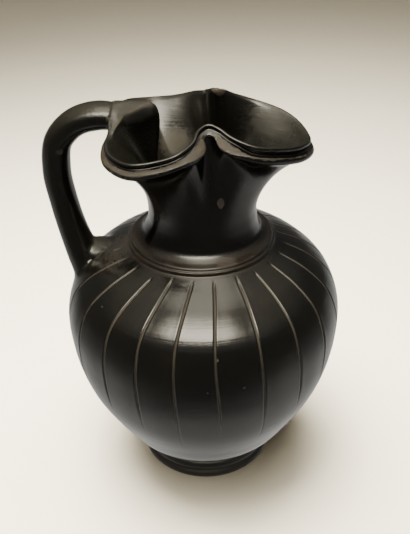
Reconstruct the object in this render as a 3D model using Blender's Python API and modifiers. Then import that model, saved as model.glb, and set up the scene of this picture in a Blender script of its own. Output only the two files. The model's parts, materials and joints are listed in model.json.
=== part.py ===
# A squat jug with a three-lobed mouth: a hollow turned body on a ring foot, upright grooves cut
# round it, a raised ring at the root of the neck, and one handle from shoulder to rim.
# The jug stands on z = 0. The spout points along +X, and the handle is on the -X side.

import bmesh
import bpy
import numpy as np

MM = 0.001  # the sizes below are in millimetres
UPRIGHT = np.array([0, 0, 1])

FOOT_HEIGHT = 9.2
FOOT_RECESS = 5.0
BODY_RADIUS = 54.5
SHOULDER_TOP = 105.0
NECK_RADIUS = 20.4
NECK_WAIST = 118.5
WALL = 4.0
FLOOR = 11.0
FLOOR_ROUNDING = 5.0
DISHING = 0.6  # how much higher the middle of the underside is than the recess's rim

# Radius and height of each corner of the foot, from the middle of its underside outwards and up
FOOT_OUTLINE = [
    (20.4, FOOT_RECESS),
    (22.0, 0.8),
    (22.8, 0.0),
    (27.2, 0.0),
    (27.9, 0.8),
    (27.8, 2.6),
    (26.7, 4.2),
    (27.4, 6.4),
    (27.2, 8.2),
]

# The body's outline, from the foot to the root of the neck
BODY_OUTLINE = [
    (26.2, FOOT_HEIGHT),
    (34.3, 15.3),
    (43.0, 30.4),
    (50.6, 47.0),
    (54.1, 64.5),
    (53.8, 79.5),
    (49.9, 89.2),
    (42.2, 97.0),
    (27.6, SHOULDER_TOP),
]
BODY_ROWS = 12
INNER_ROWS = 9

# The raised ring round the root of the neck, and the neck up to its waist
NECK_OUTLINE = [
    (28.0, 106.3),
    (26.6, 107.9),
    (24.4, 108.3),
    (22.1, 110.6),
    (20.8, 114.0),
]

# Direction of each upright groove, in degrees from the spout, anticlockwise seen from above
GROOVES = [1.5, 15, 27, 42, 57, 72, 86, 101, 116, 131, 146, 160]
GROOVES += [175, 189, 205, 219, 234, 250, 265, 281, 299, 316.5, 332, 345]
GROOVE_WIDTH = 1.2
GROOVE_DEPTH = 0.6
GROOVE_TOP = 103.5
GROOVE_END = 40.0
GROOVE_FADE = 9.0

# Crest of the lip for one half of the mouth, from the spout round to the handle: distance along
# the spout's direction, distance to the side, and height
LIP_CREST = [
    (40.0, 0.0, 146.9),
    (36.6, 9.8, 148.2),
    (29.1, 16.8, 150.3),
    (19.9, 19.9, 152.3),
    (12.0, 18.5, 155.1),
    (7.2, 16.2, 157.4),
    (4.8, 15.5, 157.9),
    (2.8, 17.0, 157.2),
    (0.9, 22.3, 154.8),
    (-3.9, 27.4, 152.6),
    (-11.6, 29.0, 150.4),
    (-21.8, 28.9, 149.4),
    (-29.2, 23.0, 150.8),
    (-31.0, 14.1, 152.4),
    (-30.4, 6.5, 152.6),
    (-30.0, 0.0, 152.6),
]
CREST_AT_HANDLE = 14  # how many of those stations come before the handle
LIP_THICKNESS = 1.4
BLANK_TOP = 151.0  # closed top of the outer form, before the hollow opens it

# Section of the lip from its inner edge over the crest and down: a thin upper rim, a groove and a
# thicker band below. Each corner has its distance out from the crest's line and down from it.
LIP_SECTION = [
    (-LIP_THICKNESS, 0.2),
    (-0.7, 0.0),
    (0.0, 0.5),
    (-0.7, 2.0),
    (1.3, 3.0),
    (1.3, 5.2),
    (0.2, 5.5),
]

# The flare from the neck to the lip is a Bezier curve in each upright plane. It leaves the lip at
# a slope under the lobes and straight down at the pinches, and meets the neck upright.
LOBE_REACH = 36.0
FLARE_SLOPE = 0.55
FLARE_REACH = 12.0
PINCH_DROP = 8.0
NECK_RISE = 15.0
FLARE_STEPS = (0.0, 0.22, 0.44, 0.66, 1.0)
INSIDE_REACH = 11.0
INSIDE_DROP = 12.0
INSIDE_RISE = 14.0
INSIDE_STEPS = (0.2, 0.4, 0.6, 0.8, 1.0)
CHIMNEY = 14.0  # how far the hollow's upright walls run on above the rim
HOLLOW_TOP = 170.0

# The handle's end lies over the back of the mouth as a tongue with a rounded tip, which runs down
# inside the neck as a ridge
TONGUE_HEIGHT = 153.0
TONGUE_TIP = 14.4
TONGUE_ROOT = 27.6
TONGUE_HALF_WIDTH = 6.6
TONGUE_ROUNDNESS = 1.8
TONGUE_STATIONS = (0.0, 0.3, 0.55, 0.78, 0.93, 1.0)
TONGUE_SLOPE = 0.38
RIDGE_DEPTH = 2.0

# Centre line of the handle, from the shoulder up and over to the mouth: distance behind the
# neck's axis, height, and size of the section relative to the middle of the handle
HANDLE_LINE = [
    (42.6, 82.0, 1.4),
    (46.3, 91.0, 1.12),
    (49.3, 103.0, 1.0),
    (52.4, 119.0, 0.94),
    (53.6, 133.0, 0.94),
    (51.3, 144.6, 0.93),
    (44.7, 151.3, 0.92),
    (35.0, 153.9, 0.91),
    (24.0, 154.5, 0.9),
    (12.0, 154.6, 0.9),
]
HANDLE_WIDTH = 13.9
HANDLE_THICKNESS = 11.1
HANDLE_STEPS = 20
HANDLE_SIDES = 12
HOLLOW_COLUMNS = 54

# Distance of the neck's axis from x = 0, which centres the jug with its handle on the origin
HANDLE_REACH = max(behind + size * HANDLE_THICKNESS / 2 for behind, height, size in HANDLE_LINE)
AXIS_X = (HANDLE_REACH - BODY_RADIUS) / 2


def curve_through(knots, values, at):
    """Smooth curve that passes through the values at their knots, each slope taken from its neighbours."""
    knots, values, at = np.asarray(knots, float), np.asarray(values, float), np.asarray(at, float)
    slopes = np.gradient(values, knots, axis=0)
    i = np.clip(np.searchsorted(knots, at, side="right") - 1, 0, len(knots) - 2)
    span = (knots[i + 1] - knots[i])[:, None]
    t = (at - knots[i])[:, None] / span
    start = (1 + 2 * t) * (1 - t) ** 2 * values[i] + t * (1 - t) ** 2 * span * slopes[i]
    end = t**2 * (3 - 2 * t) * values[i + 1] + t**2 * (t - 1) * span * slopes[i + 1]
    return start + end


def distance_along(points):
    steps = np.linalg.norm(np.diff(points, axis=0), axis=1)
    return np.concatenate([[0], np.cumsum(steps)])


def open_line(points, count):
    """This many points, evenly spaced, on a smooth line through the given ones."""
    points = np.asarray(points, float)
    fine = curve_through(distance_along(points), points, np.linspace(0, distance_along(points)[-1], 800))
    along = distance_along(fine)
    even = np.linspace(0, along[-1], count)
    return np.stack([np.interp(even, along, column) for column in fine.T], axis=1)


def closed_loop(half, turns):
    """Points of a mirrored loop at these fractions of its length, and their outward directions in plan."""
    half = np.asarray(half, float)
    loop = np.vstack([half, half[-2:0:-1] * (1, -1, 1)])
    wrapped = np.vstack([loop[-2:], loop, loop[:3]])
    knots = distance_along(wrapped)
    fine = curve_through(knots, wrapped, np.linspace(knots[2], knots[-3], 3000))
    along = distance_along(fine) / distance_along(fine)[-1]
    ahead = np.gradient(fine[:, :2], axis=0)
    outward = np.stack([ahead[:, 1], -ahead[:, 0]], axis=1)
    outward /= np.linalg.norm(outward, axis=1)[:, None]
    at = np.asarray(turns) % 1
    points = np.stack([np.interp(at, along, column) for column in fine.T], axis=1)
    sides = np.stack([np.interp(at, along, column) for column in outward.T], axis=1)
    return points, sides


def ring(radius, height, angles):
    """One round of points on a turned surface."""
    heights = np.full(len(angles), height)
    return np.stack([radius * np.cos(angles), radius * np.sin(angles), heights], axis=1)


def smooth_step(value, low, high):
    t = np.clip((value - low) / (high - low), 0, 1)
    return t * t * (3 - 2 * t)


def lobe_strength(points):
    """0 where the mouth is pinched to the neck's width, 1 at the tips of its lobes."""
    reach = np.hypot(points[:, 0], points[:, 1])
    return smooth_step(reach, NECK_RADIUS - WALL, LOBE_REACH)


def down_slope(side):
    """Directions that point in under the lip and down at the flare's slope."""
    return np.hstack([-side, np.full((len(side), 1), -FLARE_SLOPE)])


def bezier(a, b, c, d, t):
    return a * (1 - t) ** 3 + 3 * b * t * (1 - t) ** 2 + 3 * c * t**2 * (1 - t) + d * t**3


def groove_columns():
    """Four columns to a groove: its two edges round its bottom, and the middle of the gap after it."""
    bottoms = np.radians(GROOVES)
    gaps = np.diff(np.append(bottoms, bottoms[0] + 2 * np.pi))
    edge = GROOVE_WIDTH / 2 / BODY_RADIUS
    columns = np.stack([bottoms - edge, bottoms, bottoms + edge, bottoms + gaps / 2], axis=1)
    return columns.reshape(-1)


def body_round(radius, height, columns, even):
    """A round of the body, where the bottom of each groove is sunk below the surface."""
    full = smooth_step(height, GROOVE_END, GROOVE_END + GROOVE_FADE) * (height < GROOVE_TOP)
    gathered = columns.copy()
    edge = GROOVE_WIDTH / 2 / radius
    gathered[0::4], gathered[2::4] = columns[1::4] - edge, columns[1::4] + edge
    share = smooth_step(height, FOOT_HEIGHT, GROOVE_END) * (height < SHOULDER_TOP)
    points = ring(radius, height, even + (gathered - even) * share)
    points[1::4, :2] *= 1 - GROOVE_DEPTH * full / radius
    return points


def outside_rows():
    """The outer surface as rounds of points, from above the mouth down to the middle of the underside."""
    columns = groove_columns()
    even = columns[1] + 2 * np.pi * (np.arange(len(columns)) - 1) / len(columns)
    crest, side = closed_loop(LIP_CREST, even / (2 * np.pi))
    lobe = lobe_strength(crest)[:, None]

    rows = [ring(0, BLANK_TOP, even)]
    for out, down in LIP_SECTION:
        rows.append(np.hstack([crest[:, :2] + side * out, crest[:, 2:] - down]))
    under_lip = rows.pop()
    waist = ring(NECK_RADIUS, NECK_WAIST, even)
    leaving = under_lip + lobe * FLARE_REACH * down_slope(side) - (1 - lobe) * PINCH_DROP * UPRIGHT
    for t in FLARE_STEPS:
        rows.append(bezier(under_lip, leaving, waist + NECK_RISE * UPRIGHT, waist, t))

    for radius, height in reversed(NECK_OUTLINE):
        rows.append(ring(radius, height, even))
    for radius, height in reversed(open_line(BODY_OUTLINE, BODY_ROWS)):
        rows.append(body_round(radius, height, columns, even))
    for radius, height in reversed(FOOT_OUTLINE):
        rows.append(ring(radius, height, even))
    rows.append(ring(0, FOOT_RECESS + DISHING, even))
    return np.array(rows)


def tongue_outline():
    """Stations of one side of the tongue, from the corner that it makes with the lip to its tip."""
    along = np.array(TONGUE_STATIONS)
    width = TONGUE_HALF_WIDTH * (1 - along**TONGUE_ROUNDNESS) ** (1 / TONGUE_ROUNDNESS)
    behind = TONGUE_ROOT + (TONGUE_TIP - TONGUE_ROOT) * along
    return np.stack([-behind, width, np.full(len(along), TONGUE_HEIGHT)], axis=1)


def inside_rows(count):
    """The hollow as rounds of points, from above the rim down to the middle of the floor."""
    turns = np.arange(count) / count
    angles = 2 * np.pi * turns
    half = np.array(LIP_CREST[:CREST_AT_HANDLE])
    ahead = np.gradient(half[:, :2], axis=0)
    outward = np.stack([ahead[:, 1], -ahead[:, 0]], axis=1)
    half[:, :2] -= LIP_THICKNESS * outward / np.linalg.norm(outward, axis=1)[:, None]
    half[0, 1] = 0
    mouth, side = closed_loop(np.vstack([half, tongue_outline()]), turns)
    behind, beside = -mouth[:, :1], np.abs(mouth[:, 1:2])
    on_tongue = smooth_step(behind, NECK_RADIUS / 2, TONGUE_TIP)
    on_tongue = on_tongue * (1 - smooth_step(beside, 0.6 * TONGUE_HALF_WIDTH, 2 * TONGUE_HALF_WIDTH))
    ridge = on_tongue * (1 - smooth_step(beside, 0, TONGUE_HALF_WIDTH)) * (1, 0, 0)
    lobe = lobe_strength(mouth)[:, None] * (1 - on_tongue)

    rows = [ring(0, HOLLOW_TOP, angles), mouth + CHIMNEY * (UPRIGHT - TONGUE_SLOPE * ridge), mouth]
    waist = ring(NECK_RADIUS - WALL, NECK_WAIST, angles)
    leaving = mouth + lobe * INSIDE_REACH * down_slope(side) - (1 - lobe) * INSIDE_DROP * UPRIGHT
    arriving = waist + INSIDE_RISE * UPRIGHT + RIDGE_DEPTH * ridge
    for t in INSIDE_STEPS:
        rows.append(bezier(mouth, leaving, arriving, waist, t))
    for radius, height in inner_outline():
        rows.append(ring(radius, height, angles))
    rows.append(ring(0, FLOOR, angles))
    return np.array(rows)


def inner_outline():
    """Radius and height of the hollow below the neck's waist: the outer line moved in by the wall."""
    outer = open_line(list(reversed(BODY_OUTLINE)), 40)
    ahead = np.gradient(outer, axis=0)
    ahead /= np.linalg.norm(ahead, axis=1)[:, None]
    inner = outer + WALL * np.stack([ahead[:, 1], -ahead[:, 0]], axis=1)
    inner = inner[inner[:, 1] > FLOOR + FLOOR_ROUNDING / 2]
    inner = open_line([(NECK_RADIUS - WALL, NECK_OUTLINE[-1][1]), *inner[2::3]], INNER_ROWS)
    return [*inner, (inner[-1][0] - FLOOR_ROUNDING, FLOOR + DISHING)]


def turned(name, rows, collection):
    """A form turned as a round one with Screw, whose points are then drawn to their places in the rows."""
    radii = np.hypot(rows[..., 0], rows[..., 1]).mean(axis=1)
    heights = rows[..., 2].mean(axis=1)
    columns = rows.shape[1]
    profile = bpy.data.meshes.new(name)
    points = [(r * MM, 0, z * MM) for r, z in zip(radii, heights)]
    profile.from_pydata(points, [(i, i + 1) for i in range(len(points) - 1)], [])
    wheel = bpy.data.objects.new(name, profile)
    collection.objects.link(wheel)
    screw = wheel.modifiers.new("Turn", "SCREW")
    screw.steps = screw.render_steps = columns
    screw.use_merge_vertices = True
    screw.merge_threshold = 0.00001
    graph = bpy.context.evaluated_depsgraph_get()
    mesh = bpy.data.meshes.new_from_object(wheel.evaluated_get(graph))
    wheel.modifiers.clear()
    wheel.data = mesh
    bpy.data.meshes.remove(profile)
    for vertex in mesh.vertices:
        x, y, z = np.array(vertex.co) / MM
        row = np.argmin((np.hypot(x, y) - radii) ** 2 + (z - heights) ** 2)
        column = round(np.arctan2(y, x) / (2 * np.pi) * columns) % columns
        vertex.co = rows[row, column] * MM
    return wheel


def handle_tube(collection):
    """The handle's strap: a round tube along its centre line, made wider than thick across the line."""
    line = open_line(HANDLE_LINE, HANDLE_STEPS)
    curve = bpy.data.curves.new("handle line", "CURVE")
    curve.dimensions = "3D"
    curve.bevel_depth = HANDLE_THICKNESS / 2 * MM
    curve.bevel_resolution = (HANDLE_SIDES - 4) // 2
    curve.use_fill_caps = True
    spline = curve.splines.new("POLY")
    spline.points.add(len(line) - 1)
    for point, (behind, height, size) in zip(spline.points, line):
        point.co = (-behind * MM, 0, height * MM, 1)
        point.radius = size
    guide = bpy.data.objects.new("handle line", curve)
    guide.scale.y = HANDLE_WIDTH / HANDLE_THICKNESS
    collection.objects.link(guide)
    graph = bpy.context.evaluated_depsgraph_get()
    mesh = bpy.data.meshes.new_from_object(guide.evaluated_get(graph))
    mesh.transform(guide.matrix_world)
    bpy.data.objects.remove(guide)
    weld = bmesh.new()
    weld.from_mesh(mesh)
    bmesh.ops.remove_doubles(weld, verts=weld.verts, dist=0.00001)
    bmesh.ops.recalc_face_normals(weld, faces=weld.faces)
    weld.to_mesh(mesh)
    weld.free()
    handle = bpy.data.objects.new("handle blank", mesh)
    collection.objects.link(handle)
    return handle


def black_glaze():
    material = bpy.data.materials.new("black glazed clay")
    material.use_nodes = True
    shader = material.node_tree.nodes["Principled BSDF"]
    shader.inputs["Base Color"].default_value = (0.012, 0.011, 0.010, 1)
    shader.inputs["Metallic"].default_value = 0
    shader.inputs["Roughness"].default_value = 0.28
    material.diffuse_color = (0.03, 0.03, 0.03, 1)
    return material


def helper(obj):
    obj.hide_render = True
    obj.display_type = "WIRE"
    obj.location.x = AXIS_X * MM
    return obj


def build():
    for obj in list(bpy.data.objects):
        bpy.data.objects.remove(obj)
    jug_parts = bpy.data.collections.new("oinochoe")
    cutters = bpy.data.collections.new("cutters")
    for collection in (jug_parts, cutters):
        bpy.context.scene.collection.children.link(collection)

    jug = turned("oinochoe", outside_rows(), jug_parts)
    jug.location.x = AXIS_X * MM
    jug.data.materials.append(black_glaze())
    handle = helper(handle_tube(cutters))
    hollow = helper(turned("hollow", inside_rows(HOLLOW_COLUMNS), cutters))
    for operation, other in (("UNION", handle), ("DIFFERENCE", hollow)):
        joint = jug.modifiers.new(other.name, "BOOLEAN")
        joint.operation = operation
        joint.solver = "EXACT"
        joint.object = other
    jug.data.shade_smooth()
    jug.data.set_sharp_from_angle(angle=0.6)


build()
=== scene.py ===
import json
import math

import bmesh
import bpy
import numpy as np
from mathutils import Matrix, Vector, noise
from mathutils.bvhtree import BVHTree
from mathutils.kdtree import KDTree

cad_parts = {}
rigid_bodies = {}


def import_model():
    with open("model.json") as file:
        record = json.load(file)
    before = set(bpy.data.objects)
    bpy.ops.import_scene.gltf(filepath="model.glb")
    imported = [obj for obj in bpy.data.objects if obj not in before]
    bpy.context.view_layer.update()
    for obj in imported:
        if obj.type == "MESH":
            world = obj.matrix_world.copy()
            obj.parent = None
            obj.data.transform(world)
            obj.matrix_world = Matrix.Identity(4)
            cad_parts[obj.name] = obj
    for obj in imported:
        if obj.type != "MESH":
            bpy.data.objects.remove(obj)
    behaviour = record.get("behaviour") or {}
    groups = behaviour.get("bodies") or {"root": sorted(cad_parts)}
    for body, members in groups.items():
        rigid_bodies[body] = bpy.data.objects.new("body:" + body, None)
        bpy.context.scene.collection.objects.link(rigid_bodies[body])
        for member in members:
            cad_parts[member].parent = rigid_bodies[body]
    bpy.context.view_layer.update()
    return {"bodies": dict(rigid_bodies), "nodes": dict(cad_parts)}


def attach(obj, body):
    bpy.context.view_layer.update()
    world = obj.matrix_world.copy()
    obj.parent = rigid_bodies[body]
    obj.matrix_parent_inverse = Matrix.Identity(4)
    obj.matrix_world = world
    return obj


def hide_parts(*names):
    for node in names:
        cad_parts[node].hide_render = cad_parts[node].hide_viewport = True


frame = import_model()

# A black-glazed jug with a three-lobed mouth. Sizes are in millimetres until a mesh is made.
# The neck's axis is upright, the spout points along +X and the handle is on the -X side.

mm = 0.001
lineSamples = 1600
loopSamples = 3000
upright = np.array([0.0, 0.0, 1.0])
bodyName = next(iter(frame["bodies"]))
nodeName = next(iter(frame["nodes"]))


# Curves and small helpers

def columns(*parts):
    return np.stack(parts, axis=1)


def curveThrough(knots, values, at):
    knots, values, at = np.asarray(knots, float), np.asarray(values, float), np.asarray(at, float)
    slopes = np.gradient(values, knots, axis=0)
    i = np.clip(np.searchsorted(knots, at, side="right") - 1, 0, len(knots) - 2)
    span = (knots[i + 1] - knots[i])[:, None]
    t = (at - knots[i])[:, None] / span
    start = (1 + 2 * t) * (1 - t) ** 2 * values[i] + t * (1 - t) ** 2 * span * slopes[i]
    end = t**2 * (3 - 2 * t) * values[i + 1] + t**2 * (t - 1) * span * slopes[i + 1]
    return start + end


def distanceAlong(points):
    steps = np.linalg.norm(np.diff(points, axis=0), axis=1)
    return np.concatenate([[0], np.cumsum(steps)])


def openLine(points, count):  # evenly spaced points on a smooth line through these
    points = np.asarray(points, float)
    knots = distanceAlong(points)
    fine = curveThrough(knots, points, np.linspace(0, knots[-1], lineSamples))
    along = distanceAlong(fine)
    even = np.linspace(0, along[-1], count)
    return columns(*(np.interp(even, along, column) for column in fine.T))


def closedLoop(half, turns):  # a mirrored loop at these shares of its length, and its outward sides
    half = np.asarray(half, float)
    loop = np.vstack([half, half[-2:0:-1] * (1, -1, 1)])
    wrapped = np.vstack([loop[-2:], loop, loop[:3]])
    knots = distanceAlong(wrapped)
    fine = curveThrough(knots, wrapped, np.linspace(knots[2], knots[-3], loopSamples))
    along = distanceAlong(fine) / distanceAlong(fine)[-1]
    ahead = np.gradient(fine[:, :2], axis=0)
    outward = columns(ahead[:, 1], -ahead[:, 0])
    outward /= np.linalg.norm(outward, axis=1)[:, None]
    at = np.asarray(turns) % 1
    return [columns(*(np.interp(at, along, column) for column in line.T)) for line in (fine, outward)]


def smoothStep(value, low, high):
    t = np.clip((value - low) / (high - low), 0, 1)
    return t * t * (3 - 2 * t)


def valueAt(pairs, at):  # straight lines between pairs of place and value
    return np.interp(at, *np.array(pairs).T)


def bezier(a, b, c, d, t):
    return a * (1 - t) ** 3 + 3 * b * t * (1 - t) ** 2 + 3 * c * t**2 * (1 - t) + d * t**3


def roundedLine(corners, arcSteps, straightSteps):
    # Corners hold across, up, rounding and wear; the line holds across, up and wear.
    corners = np.asarray(corners, float)
    places, rounding = corners[:, [0, 1, 3]], corners[:, 2]
    line = [places[0]]
    for i in range(1, len(places)):
        if i < len(places) - 1:
            back, ahead = places[i - 1] - places[i], places[i + 1] - places[i]
            lengths = np.linalg.norm(back[:2]), np.linalg.norm(ahead[:2])
            cut = min(rounding[i], 0.48 * lengths[0], 0.48 * lengths[1])
            enter, leave = places[i] + back * cut / lengths[0], places[i] + ahead * cut / lengths[1]
        else:
            enter = leave = places[i]
        start = line[-1]
        line += [start + (enter - start) * step / straightSteps for step in range(1, straightSteps + 1)]
        if i < len(places) - 1:
            for t in (step / arcSteps for step in range(1, arcSteps + 1)):
                line.append(enter * (1 - t) ** 2 + 2 * places[i] * t * (1 - t) + leave * t**2)
    return np.array(line)


# The vessel: one closed skin of rounds, up the outside, over the lip and down the inside

vessel = {
    "bodyRadius": 54.5,
    "neckShift": 0.6,  # the neck stands a little towards the spout
    "wall": 4, "floor": 11, "floorRounding": 5, "bodyRows": 76, "insideRows": 20,
    # Each corner: radius, height, rounding, wear
    "underside": [(0, 5.6, 0, 0.2), (19.8, 5, 1.2, 0.2), (21.4, 2.4, 0.8, 0.2), (22.8, 0, 0.7, 0.9)],
    "foot": [(22.8, 0, 0.7, 0.9), (27.5, 0, 0.6, 1), (28.3, 1, 0.6, 0.8), (28.2, 2.6, 0.7, 0.3),
             (27.1, 4.3, 0.7, 0), (27.9, 6, 0.6, 0.45), (27.5, 7.9, 0.5, 0.2), (26.2, 9.2, 0, 0)],
    "body": [(26.2, 9.2), (33.2, 15.3), (42.7, 30.4), (50.5, 47), (54.1, 64.5), (53.8, 79.5),
             (49.9, 89.2), (42.2, 97), (29, 104.4)],
    "ring": [(29, 104.4, 0, 0), (28.2, 104.9, 0.3, 0), (28.1, 106.3, 0.35, 0.75),
             (27.4, 106.5, 0.25, 0), (27, 107.5, 0.4, 0.5), (25, 108, 0.6, 0.4),
             (22.6, 109.7, 2.4, 0.1), (20.7, 114.2, 3, 0), (20.4, 118.5, 0, 0)],
}

lip = {
    # Outer edge of the crest for half of the mouth, from the spout to the handle: along, aside, height
    "crest": [(40, 0, 146.9), (36.6, 9.8, 148.2), (29.1, 16.8, 150.3), (19.9, 19.9, 152.3),
              (12, 18.5, 155.1), (7.2, 16.2, 157.4), (4.8, 15.5, 157.9), (2.8, 17, 157.2),
              (0.9, 22.3, 154.8), (-3.9, 27.4, 152.6), (-11.6, 29, 150.4), (-21.8, 28.9, 149.4),
              (-29.2, 23, 150.8), (-31, 14.1, 152.4), (-30.4, 6.5, 152.6), (-30, 0, 152.6)],
    # Sections from the flare up to the crest: distance out, distance up from the crest, rounding, wear
    "sections": {
        "lobe": [(0.3, -5.9, 0, 0), (1.3, -5.1, 0.5, 0.3), (1.4, -3.7, 0.5, 0.8), (0.35, -2.9, 0.3, 1),
            (-0.95, -2.3, 0.35, 0.3), (0, -0.55, 0.4, 0), (-0.6, 0, 0.5, 0.45), (-1.4, -0.35, 0, 0.15)],
        "spout": [(0.2, -6.2, 0, 0), (0.9, -5.6, 0.6, 0.15), (1.2, -4.5, 0.5, 0.3),
            (0.75, -3.5, 0.2, 0.9), (-1.1, -3.3, 0.5, -0.9), (-0.1, -0.8, 0.4, -0.3),
            (-0.6, 0, 0.5, 0.35), (-1.4, -0.35, 0, 0.1)],
        "besidePinch": [(0.8, -6.3, 0, 0), (2.5, -5.8, 0.5, 0.25), (3, -4.5, 0.6, 0.75),
            (1.2, -3.1, 0.6, 1), (-0.8, -2.2, 0.35, 0.3), (0, -0.55, 0.4, 0), (-0.6, 0, 0.5, 0.45),
            (-1.4, -0.4, 0, 0.15)],
        "pinch": [(0.2, -5, 0, 0), (0.8, -4.4, 0.4, 0.2), (1.1, -3.4, 0.4, 0.45), (0.3, -2.6, 0.3, 0.7),
            (-0.7, -1.9, 0.35, 0.1), (0, -0.55, 0.4, 0.4), (-0.6, 0, 0.5, 0.55), (-1.4, -0.5, 0, 0.2)],
        "handle": [(0.3, -5.9, 0, 0), (0.8, -5.1, 0.5, 0), (0.8, -3.7, 0.5, 0), (0.6, -2.9, 0.3, 0),
            (0.4, -2.3, 0.35, 0), (0, -0.55, 0.4, 0), (-0.6, 0, 0.5, 0.3), (-1.4, -0.35, 0, 0.1)],
    },
    "pinch": (4.8, 15.5),
    "lobeReach": 36,
    "farRise": (1, 2, 16),  # the rim's far side stands this much higher, between these distances aside
    # Where the sections blend: past the pinch, away from it, and behind the axis or aside
    "blends": {"spout": (2, 14), "shoulder": (8, 16), "apex": (1.5, 6), "strap": (22, 28),
               "strapSide": (7, 12)},
    "outsideFlare": {"reach": 10, "slope": 0.3, "drop": 8, "rise": 9, "rows": 24},
    "insideFlare": {"reach": 9, "slope": 1.1, "drop": 12, "rise": 9, "rows": 26},
    # A rough lump on the far pinch: place, size, height
    "lump": ((6, 15.6, 158.3), (4.2, 3.4, 3.6), 0.7),
}

grooves = {
    # Each groove: direction from the spout in degrees, lean near its top, drift near its foot, its ends
    "lines": [(3, -2.5, 2.5, 42, 103.5), (16, -2, 2, 41, 103.8), (29, -2, 1, 45, 103.4),
              (42, 0, 0, 42, 103.6), (57, 2, -1, 44, 103.3), (72, 3, -2, 40, 103.8),
              (86, 3, -2, 45, 103.4), (101, 3, -2, 43, 103.6), (116, 1, -1, 41, 103.8),
              (131, -2, 0, 46, 103.4), (146, -3, 1, 42, 103.6), (159, -2, 1, 44, 103.5),
              (172, -1, 0, 45, 98), (184.8, 9.5, 0, 46, 103.6), (198.5, 10.5, -1.5, 47, 103.8),
              (215.5, 8.5, -3, 50, 103.7), (233, 7.6, -1.4, 48, 103.4), (248.5, 6.2, -0.5, 44, 103.6),
              (263.8, 5, 0.6, 36, 103.9), (279.8, 3.6, 2.2, 38, 103.7), (298, 1.4, 2.2, 37, 103.5),
              (315.2, -1.4, 3.3, 48, 103.8), (331.6, -2.3, 3.5, 46, 103.6),
              (347.8, -2.6, 3, 44, 103.5)],
    "lean": {"from": 84, "over": 20, "power": 2.3},
    "drift": {"below": 80, "over": 30},
    "width": 1, "depth": 0.55, "fade": 8, "topFade": 0.8, "step": 0.6,
    # Strength against height: deep on the shoulder, a scratch low down
    "strength": [(30, 0.32), (52, 0.42), (66, 1), (110, 1)],
    "acrossColumns": (-1, -0.62, -0.3, 0, 0.3, 0.62, 1),
    "gapColumns": 5,
    "gatherFrom": 3,  # the columns gather round the grooves this far below them
    "evenAbove": 113,  # and are even again above this height
    "handleMargin": 2.5,
}

handle = {
    # Centre line, from the shoulder to the mouth: distance behind the neck's axis, height, relative size
    "line": [(41.8, 82, 1.5), (45.6, 91, 1.24), (49, 102, 1.04), (52.4, 119, 0.94), (53.6, 133, 0.94),
             (51.3, 144.6, 0.93), (44.7, 151.3, 0.92), (35, 154.1, 0.91), (27.5, 153.4, 0.82)],
    "width": 13.9, "thickness": 11.1, "stations": 116, "sides": 60, "weld": 0.02,
    # A pad of clay between the root and the shoulder: place, half sizes
    "rootClay": ((-40.5, 0.8, 97.6), (6, 7.5, 4.6)),
}

tongue = {
    # The upright front edge, rounded over at the top: height, distance behind the neck's axis
    "front": [(116, 19.2), (119, 17.6), (122.5, 16.4), (126, 15.8), (131, 15.6), (138, 15.4),
              (144, 14.7), (150, 14), (154.7, 13.9), (157.6, 14.7), (158.8, 15.6), (159.5, 17.2)],
    # Top edge of the flanks, from the front to the wall: distance behind the axis, aside
    "edge": [(17.2, 0), (17.5, 0.8), (19.8, 3), (23.3, 5), (26.1, 6.4), (27.5, 9), (28.5, 12),
             (29, 14.5)],
    # Height of the top against distance aside
    "top": [(0, 159.5), (0.8, 159.4), (3, 158.5), (5, 157.2), (6.4, 155.6), (9, 153.9), (12, 152.4),
            (14.5, 151.7)],
    # How far aside the hollow of the flank reaches: height, distance
    "reach": [(116, 4), (131, 6.5), (138, 9), (146, 13), (152.5, 17)],
    "underTop": 10,  # the hollow starts over this height below the edge
    "edgeThickness": 0.9, "buried": 0.4, "wallBottom": 149.5, "bottom": 117,
    "rings": 44, "rearRings": 12, "topSteps": 16, "sideSteps": 9, "lowSteps": 29,
    # The end in the strap: distance behind the axis, half width, height of the underside, top's drop
    "rear": (34, 4.4, 152.2, 1.4),
    "rearRounding": 0.34,
    "insideFrom": (-30.5, -28.5),  # from this x the tongue is glazed as the mouth's inside
    "frontCrowding": 1.3, "edgeEnd": 1.2, "weld": 0.01,
}

handleReach = max(behind + size * handle["thickness"] / 2 for behind, height, size in handle["line"])
axisX = (handleReach - vessel["bodyRadius"]) / 2
ringFoot = vessel["ring"][0][1]
neckRadius, waist = vessel["ring"][-1][:2]
groovePeriod = len(grooves["acrossColumns"]) + grooves["gapColumns"]
columnCount = groovePeriod * len(grooves["lines"])
middleColumn = len(grooves["acrossColumns"]) // 2


def grooveDirection(height):  # radians, for every groove at this height
    lines, lean, drift = np.array(grooves["lines"]), grooves["lean"], grooves["drift"]
    leaning = np.clip((height - lean["from"]) / lean["over"], 0, 1) ** lean["power"]
    drifting = max(drift["below"] - height, 0) / drift["over"]
    return np.radians(lines[:, 0] + lines[:, 1] * leaning + lines[:, 2] * drifting)


def evenColumns():
    first = math.radians(grooves["lines"][0][0])
    return first + 2 * np.pi * (np.arange(columnCount) - middleColumn) / columnCount


def columnDirections(radius, height):
    middles = grooveDirection(min(height, ringFoot))
    following = np.append(middles[1:], middles[0] + 2 * np.pi)
    across = np.array(grooves["acrossColumns"]) / max(radius, 1)
    shares = np.arange(1, grooves["gapColumns"] + 1) / (grooves["gapColumns"] + 1)
    left, right = middles + across[-1], following + across[0]
    gathered = np.hstack([middles[:, None] + across, left[:, None] + (right - left)[:, None] * shares])
    low, high = vessel["body"][0][1], min(line[3] for line in grooves["lines"]) - grooves["gatherFrom"]
    share = smoothStep(height, low, high)
    share *= 1 - smoothStep(height, ringFoot, grooves["evenAbove"])
    even = evenColumns()
    return even + (gathered.reshape(-1) - even) * share


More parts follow.
